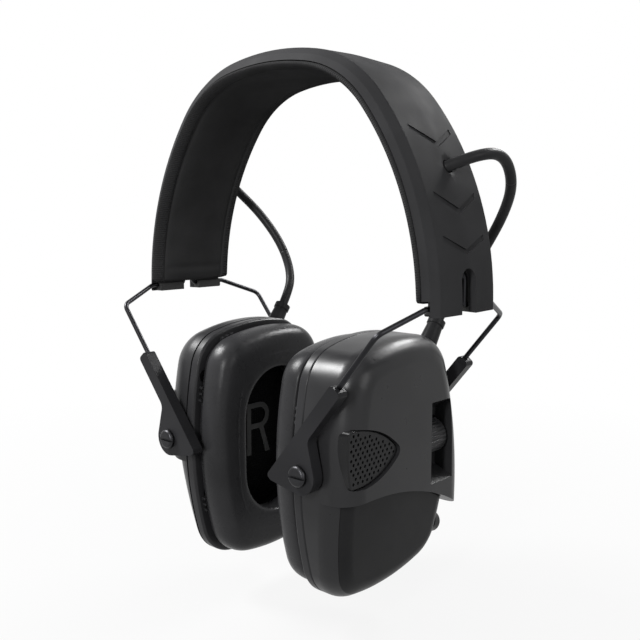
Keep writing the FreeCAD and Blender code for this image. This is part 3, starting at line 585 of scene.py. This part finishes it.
def band_angles(end, step_mm):
    """Angles along the band from foot to foot, evenly spaced in length, with the lengths."""
    half = []
    s = 0.0
    for centre, radius, low, high in BAND_ARCS:
        high = min(high, end)
        count = max(2, round(math.radians(high - low) * radius / step_mm))
        for i in range(count):
            a = low + (high - low) * i / count
            half.append((a, s + math.radians(a - low) * radius))
        s += math.radians(high - low) * radius
    half.append((end, s))
    return [(-a, -l) for a, l in reversed(half[1:])] + half


def head_pad():
    """The padded strip under the band: a crowned middle, sewn channels and ribbed edge strips.

    Each row of the profile is the place across, the distance out, and 1 on the ribbed strip.
    """
    profile = [
        (0, -0.35, 0), (5, -0.32, 0), (10, -0.22, 0), (13.5, -0.05, 0), (15.6, 0.22, 0),
        (CHANNEL_Y, 0.62, 0), (16.95, 0.95, 0), (17.4, 0.62, 0), (18.2, 0.32, 1), (19.6, 0.42, 1),
        (21.2, 0.85, 1), (22.3, 1.5, 1), (22.7, 2.2, 1), (22.4, 2.8, 1), (21.8, 3.15, 0),
        (14, 3.2, 0), (0, 3.2, 0),
    ]
    section = profile + [(-y, out, strip) for y, out, strip in reversed(profile[1:-1])]
    count = len(section)
    rows = band_angles(PAD_END, PAD_STEP)
    points, along, strip = [], [], []
    for i, (angle, length) in enumerate(rows):
        edge = min(i, len(rows) - 1 - i)
        pinch = PAD_PINCH[min(edge, len(PAD_PINCH) - 1)]
        seam = SEAM_DEPTH if edge == SEAM_ROW else 0.0
        for y, out, s in section:
            depth = PAD_MIDDLE + (out - PAD_MIDDLE) * pinch
            if out < 0.3 and abs(y) < CHANNEL_Y:
                depth += seam
            points.append(band_point(angle, depth, y * (1 - 0.02 * (1 - pinch))))
            along.append(length * MM)
            strip.append(float(s))
    faces = ring_faces(len(rows), count)
    faces.append(tuple(range(count))[::-1])
    faces.append(tuple((len(rows) - 1) * count + i for i in range(count)))
    o = mesh_object("pad_padded", points, faces, LOOKS["pad"])
    for name, values in (("along", along), ("strip", strip)):
        o.data.attributes.new(name, "FLOAT", "POINT").data.foreach_set("value", values)
    subdivide(o, 1)
    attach(o, "headband")
    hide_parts("head_pad")


head_pad()


# ---------------------------------------------------------------- cup outline, as in the CAD
CUP_Z, EAR_Z, LEAN = -157.0, -152.0, math.radians(4.0)
HALF_W, UP, DOWN, SIDE_R, END_R = 37.4, 56.0, 46.5, 150.0, 90.0
TOP_CORNER_R, LOW_CORNER_R = 17.0, 18.0
EAR_HALF_W, EAR_HALF_H = 19.5, 31.5


def quarter(inset, half_h, corner_r, steps):
    """Points of a quarter outline from the side to the end, as (y, z) from the centre."""
    w, h = HALF_W - inset, half_h - inset
    sr, er, cr = SIDE_R - inset, END_R - inset, corner_r - inset
    side_c, end_c = np.array([w - sr, 0.0]), np.array([0.0, h - er])
    r0, r1 = sr - cr, er - cr
    d = end_c - side_c
    gap = np.hypot(*d)
    a = (r0 ** 2 - r1 ** 2 + gap ** 2) / (2 * gap)
    c = math.sqrt(r0 ** 2 - a ** 2)
    both = [side_c + (a * d + s * c * np.array([-d[1], d[0]])) / gap for s in (1, -1)]
    corner = max(both, key=lambda p: p.sum())
    out = []

    def sweep(centre, radius, a0, a1, n):
        for i in range(n):
            t = a0 + (a1 - a0) * i / n
            out.append(centre + radius * np.array([math.cos(t), math.sin(t)]))

    t1 = math.atan2(*(corner - side_c)[::-1])
    t2 = math.atan2(*(corner - end_c)[::-1])
    sweep(side_c, sr, 0.0, t1, steps)
    sweep(corner, cr, t1, t2, steps)
    sweep(end_c, er, t2, math.pi / 2, steps)
    return out


def outline(inset, steps=8):
    """The cup's leaning outline as a closed ring of (y, z), the same count for each inset."""
    up = quarter(inset, UP, TOP_CORNER_R, steps)
    down = quarter(inset, DOWN, LOW_CORNER_R, steps)
    top = np.array([0.0, UP - inset])
    low = np.array([0.0, DOWN - inset])
    ring = [(p[0], p[1]) for p in up] + [(top[0], top[1])]
    ring += [(-p[0], p[1]) for p in reversed(up)]
    ring += [(-p[0], -p[1]) for p in down[1:]] + [(low[0], -low[1])]
    ring += [(p[0], -p[1]) for p in reversed(down[1:])]
    sin, cos = math.sin(LEAN), math.cos(LEAN)
    out = []
    for y, z in ring:
        dz = CUP_Z + z - EAR_Z
        out.append((y * cos - dz * sin, EAR_Z + y * sin + dz * cos))
    return out


def slot_point(y, z, half_w, half_h):
    """Where the ray from the ear's centre towards (y, z) meets the ear opening's outline."""
    dy, dz = y, z - EAR_Z
    length = math.hypot(dy, dz)
    dy, dz = dy / length, dz / length
    straight = half_h - half_w
    if abs(dy) > 1e-9 and abs(dz * half_w / abs(dy)) <= straight:
        t = half_w / abs(dy)
    else:
        b = abs(dz) * straight
        t = b + math.sqrt(max(b * b - straight ** 2 + half_w ** 2, 0))
    return (dy * t, EAR_Z + dz * t)


def slot_ring(grow, guide):
    """The ear opening's outline, grown, with one point for each point of a guide ring."""
    return [slot_point(y, z, EAR_HALF_W + grow, EAR_HALF_H + grow) for y, z in guide]


GUIDE_INSET = 14.0
HELD_X = 0.0259
PUFF_PRESSURE = 1.5
PUFF_CAP = 0.0008


def ear_cushion(side):
    """A stuffed ring with a rounded outer edge, a crowned face and a rolled lip at the ear.

    The outer rows are x and the inset from the cup's outline, and the inner rows are x and
    the growth from the ear opening.
    """
    guide = outline(GUIDE_INSET)
    outer = [(26.6, 3.2), (26.0, 2.3), (23.5, 1.9), (20.5, 2.1), (18.2, 2.7), (16.3, 3.9),
             (15.0, 5.6), (14.25, 7.6), (13.95, 10.2), (13.85, 12.8)]
    inner = [(13.75, 6.2), (13.8, 4.0), (13.9, 2.4), (14.15, 1.1), (14.9, 0.2), (16.5, -0.1),
             (22.0, 0.0), (26.6, 0.9)]
    rings = [(x, outline(inset)) for x, inset in outer]
    a, b = outline(outer[-1][1]), slot_ring(inner[0][1], guide)
    for share, x in ((0.3, 13.72), (0.65, 13.7)):
        between = [(p[0] + (q[0] - p[0]) * share, p[1] + (q[1] - p[1]) * share)
                   for p, q in zip(a, b)]
        rings.append((x, between))
    rings += [(x, slot_ring(grow, guide)) for x, grow in inner]
    count = len(guide)
    points = [(x * MM * side, y * MM, z * MM) for x, ring in rings for y, z in ring]
    name = "cushion_left" if side > 0 else "cushion_right"
    o = mesh_object(name, points, ring_faces(len(rings), count, True), LOOKS["cushion"])
    co = points_of(o)
    held = np.abs(co[:, 0]) > HELD_X
    inflate(o, held, PUFF_PRESSURE, PUFF_CAP)
    subdivide(o, 2)
    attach(o, "cup_left" if side > 0 else "cup_right")
    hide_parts("ear_cushion_left" if side > 0 else "ear_cushion_right")


def ear_liner(side):
    """Cloth over thin foam behind the ear opening, a little drawn in round the speaker."""
    word = "left" if side > 0 else "right"
    lo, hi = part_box("ear_liner_" + word)
    near = min(abs(lo.x), abs(hi.x)) / MM
    far = max(abs(lo.x), abs(hi.x)) / MM
    half_w = (hi.y - lo.y) / 2 / MM
    half_h = (hi.z - lo.z) / 2 / MM
    mid_z = (hi.z + lo.z) / 2 / MM
    steps = 64
    rings = []
    rows = [(0.02, near + 0.25), (0.2, near + 0.22), (0.4, near + 0.18), (0.6, near + 0.12),
            (0.78, near + 0.06), (0.9, near), (0.97, near + 0.25), (1.0, near + 1.0),
            (1.0, far - 0.5), (0.97, far), (0.5, far), (0.02, far)]
    for share, x in rows:
        ring = []
        for i in range(steps):
            t = 2 * math.pi * i / steps
            y, z = slot_point(math.cos(t) * 10, EAR_Z + math.sin(t) * 10, half_w, half_h)
            ring.append((y * share, mid_z + (z - EAR_Z) * share))
        rings.append((x, ring))
    points = [(x * MM * side, y * MM, z * MM) for x, ring in rings for y, z in ring]
    faces = ring_faces(len(rings), steps)
    faces.append(tuple(range(steps)))
    faces.append(tuple((len(rings) - 1) * steps + i for i in range(steps))[::-1])
    o = mesh_object("liner_" + word, points, faces, LOOKS["liner"])
    subdivide(o, 1)
    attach(o, "cup_" + word)
    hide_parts("ear_liner_" + word)


for side in (1, -1):
    ear_cushion(side)
    ear_liner(side)


# ---------------------------------------------------------------- cables
CABLE_R = 2.1
BOOT_TOP = Vector((44.6, 33.0, -98.2))
BOOT_BASE = Vector((44.2, 22.6, -112.2))
BOOT_WAY = (BOOT_TOP - BOOT_BASE).normalized()
ROUTE = [
    Vector((67.7, 0.8, -38.4)),
    Vector((76.5, 7.5, -33.7)),
    Vector((79.6, 22.0, -32.6)),
    Vector((77.2, 34.0, -42.8)),
    Vector((69.0, 42.3, -54.5)),
    Vector((58.0, 46.0, -69.5)),
    Vector((49.5, 44.2, -84.0)),
    BOOT_TOP + BOOT_WAY * 5.5,
    BOOT_TOP - BOOT_WAY * 9.0,
]


def route_points(side):
    """The smooth line of a cable, read from its NURBS spline."""
    data = bpy.data.curves.new("route", "CURVE")
    data.dimensions = "3D"
    spline = data.splines.new("NURBS")
    spline.points.add(len(ROUTE) - 1)
    for p, v in zip(spline.points, ROUTE):
        p.co = (v.x * MM * side, v.y * MM, v.z * MM, 1)
    spline.order_u = 3
    spline.use_endpoint_u = True
    spline.resolution_u = 24
    o = bpy.data.objects.new("route", data)
    bpy.context.scene.collection.objects.link(o)
    bpy.context.view_layer.update()
    mesh = bpy.data.meshes.new_from_object(o)
    line = [v.co.copy() for v in mesh.vertices]
    bpy.data.objects.remove(o)
    return line


def tube_mesh(name, line, radius, around=28):
    """A round tube along a line, with closed ends."""
    points = []
    way = (line[1] - line[0]).normalized()
    across = way.orthogonal().normalized()
    for i, p in enumerate(line):
        ahead = (line[min(i + 1, len(line) - 1)] - line[max(i - 1, 0)]).normalized()
        across = (across - ahead * across.dot(ahead)).normalized()
        up = ahead.cross(across)
        for j in range(around):
            t = 2 * math.pi * j / around
            points.append(p + (across * math.cos(t) + up * math.sin(t)) * radius)
    faces = ring_faces(len(line), around)
    faces.append(tuple(range(around))[::-1])
    faces.append(tuple((len(line) - 1) * around + j for j in range(around)))
    return mesh_object(name, points, faces, LOOKS["cable"])


def cables(side):
    """One cable in three stretches, each a round tube along about a third of its line."""
    word = "left" if side > 0 else "right"
    line = route_points(side)
    steps = [0.0]
    for a, b in zip(line, line[1:]):
        steps.append(steps[-1] + (b - a).length)
    total = steps[-1]
    cuts = [0]
    for share in (1 / 3, 2 / 3):
        cuts.append(min(range(len(steps)), key=lambda i: abs(steps[i] - total * share)))
    cuts.append(len(line) - 1)
    for i in range(3):
        part = line[cuts[i]:cuts[i + 1] + 1]
        o = tube_mesh(f"cable_{word}_{i + 1}", part, CABLE_R * MM)
        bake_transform(o)
        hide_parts("cable_" + word)


for side in (1, -1):
    cables(side)
